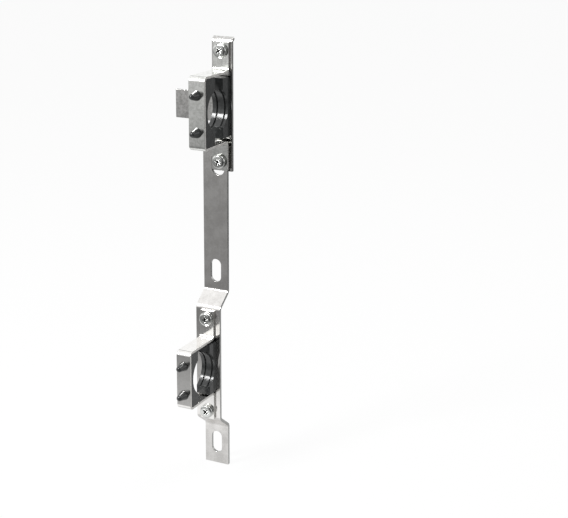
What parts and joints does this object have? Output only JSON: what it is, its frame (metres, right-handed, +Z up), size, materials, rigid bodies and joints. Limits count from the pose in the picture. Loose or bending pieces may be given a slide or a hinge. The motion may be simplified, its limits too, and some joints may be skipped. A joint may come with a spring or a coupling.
{
  "type": "parallel bar mounting bracket",
  "caption": "Joggled, slotted steel bracket with rubber-lined hat clamps that hold parallel horizontal bars off a wall or cabinet rail; the upper clamp slides and swivels in a slot.",
  "frame": {"origin": "midway between the two wall slots, on their centre line, in the plane of the strip's back that lies on the wall", "axes": "+X along the bars, +Y into the wall, +Z up along the strip"},
  "size_m": [0.0514, 0.0785, 0.3653],
  "materials": {
    "strip_steel": "bright zinc-plated sheet steel with a fine mottled grain",
    "plate_steel": "bright zinc-plated sheet steel with a fine mottled grain",
    "saddle_steel": "bright plated, bent sheet steel with soft reflections",
    "pad_rubber": "satin black moulded rubber",
    "fastener_zinc": "bright zinc-plated steel"
  },
  "bodies": {
    "strip": {"mounting_strip": "strip_steel", "lower_rear_pad": "pad_rubber", "lower_top_nut": "fastener_zinc", "lower_bottom_nut": "fastener_zinc"},
    "lower_clamp": {"lower_saddle": "saddle_steel", "lower_front_pad": "pad_rubber"},
    "lower_top_screw": {"lower_top_screw": "fastener_zinc"},
    "lower_bottom_screw": {"lower_bottom_screw": "fastener_zinc"},
    "slot_nut": {"upper_pivot_nut": "fastener_zinc"},
    "upper_plate": {"upper_back_plate": "plate_steel", "upper_rear_pad": "pad_rubber", "upper_top_nut": "fastener_zinc"},
    "upper_clamp": {"upper_saddle": "saddle_steel", "upper_front_pad": "pad_rubber"},
    "upper_top_screw": {"upper_top_screw": "fastener_zinc"},
    "upper_pivot_screw": {"upper_pivot_screw": "fastener_zinc"}
  },
  "joints": [
    {"name": "upper_height", "type": "slide", "parent": "strip", "child": "slot_nut", "axis": [0, 0, 1], "range_m": [-0.005, 0.002]},
    {"name": "upper_swivel", "type": "hinge", "parent": "slot_nut", "child": "upper_plate", "pos_m": [0.0052, 0, 0.17], "axis": [0, 1, 0], "range_deg": [-18, 18]},
    {"name": "upper_opening", "type": "slide", "parent": "upper_plate", "child": "upper_clamp", "axis": [0, -1, 0], "range_m": [0, 0.0065]},
    {"name": "upper_top_screw_turn", "type": "hinge", "parent": "upper_clamp", "child": "upper_top_screw", "pos_m": [0.0052, 0, 0.258], "axis": [0, -1, 0], "range_deg": [0, 2345]},
    {"name": "upper_pivot_screw_turn", "type": "hinge", "parent": "upper_clamp", "child": "upper_pivot_screw", "pos_m": [0.0052, 0, 0.17], "axis": [0, -1, 0], "range_deg": [0, 2345]},
    {"name": "lower_opening", "type": "slide", "parent": "strip", "child": "lower_clamp", "axis": [0, -1, 0], "range_m": [0, 0.0065]},
    {"name": "lower_top_screw_turn", "type": "hinge", "parent": "lower_clamp", "child": "lower_top_screw", "pos_m": [0, 0, 0.04], "axis": [0, -1, 0], "range_deg": [0, 2345]},
    {"name": "lower_bottom_screw_turn", "type": "hinge", "parent": "lower_clamp", "child": "lower_bottom_screw", "pos_m": [0, 0, -0.042], "axis": [0, -1, 0], "range_deg": [0, 2345]}
  ],
  "couplings": [
    {"joint": "upper_top_screw_turn", "follows": "upper_opening", "rad_per_m": 6283.2},
    {"joint": "upper_pivot_screw_turn", "follows": "upper_opening", "rad_per_m": 6283.2},
    {"joint": "lower_top_screw_turn", "follows": "lower_opening", "rad_per_m": 6283.2},
    {"joint": "lower_bottom_screw_turn", "follows": "lower_opening", "rad_per_m": 6283.2}
  ]
}
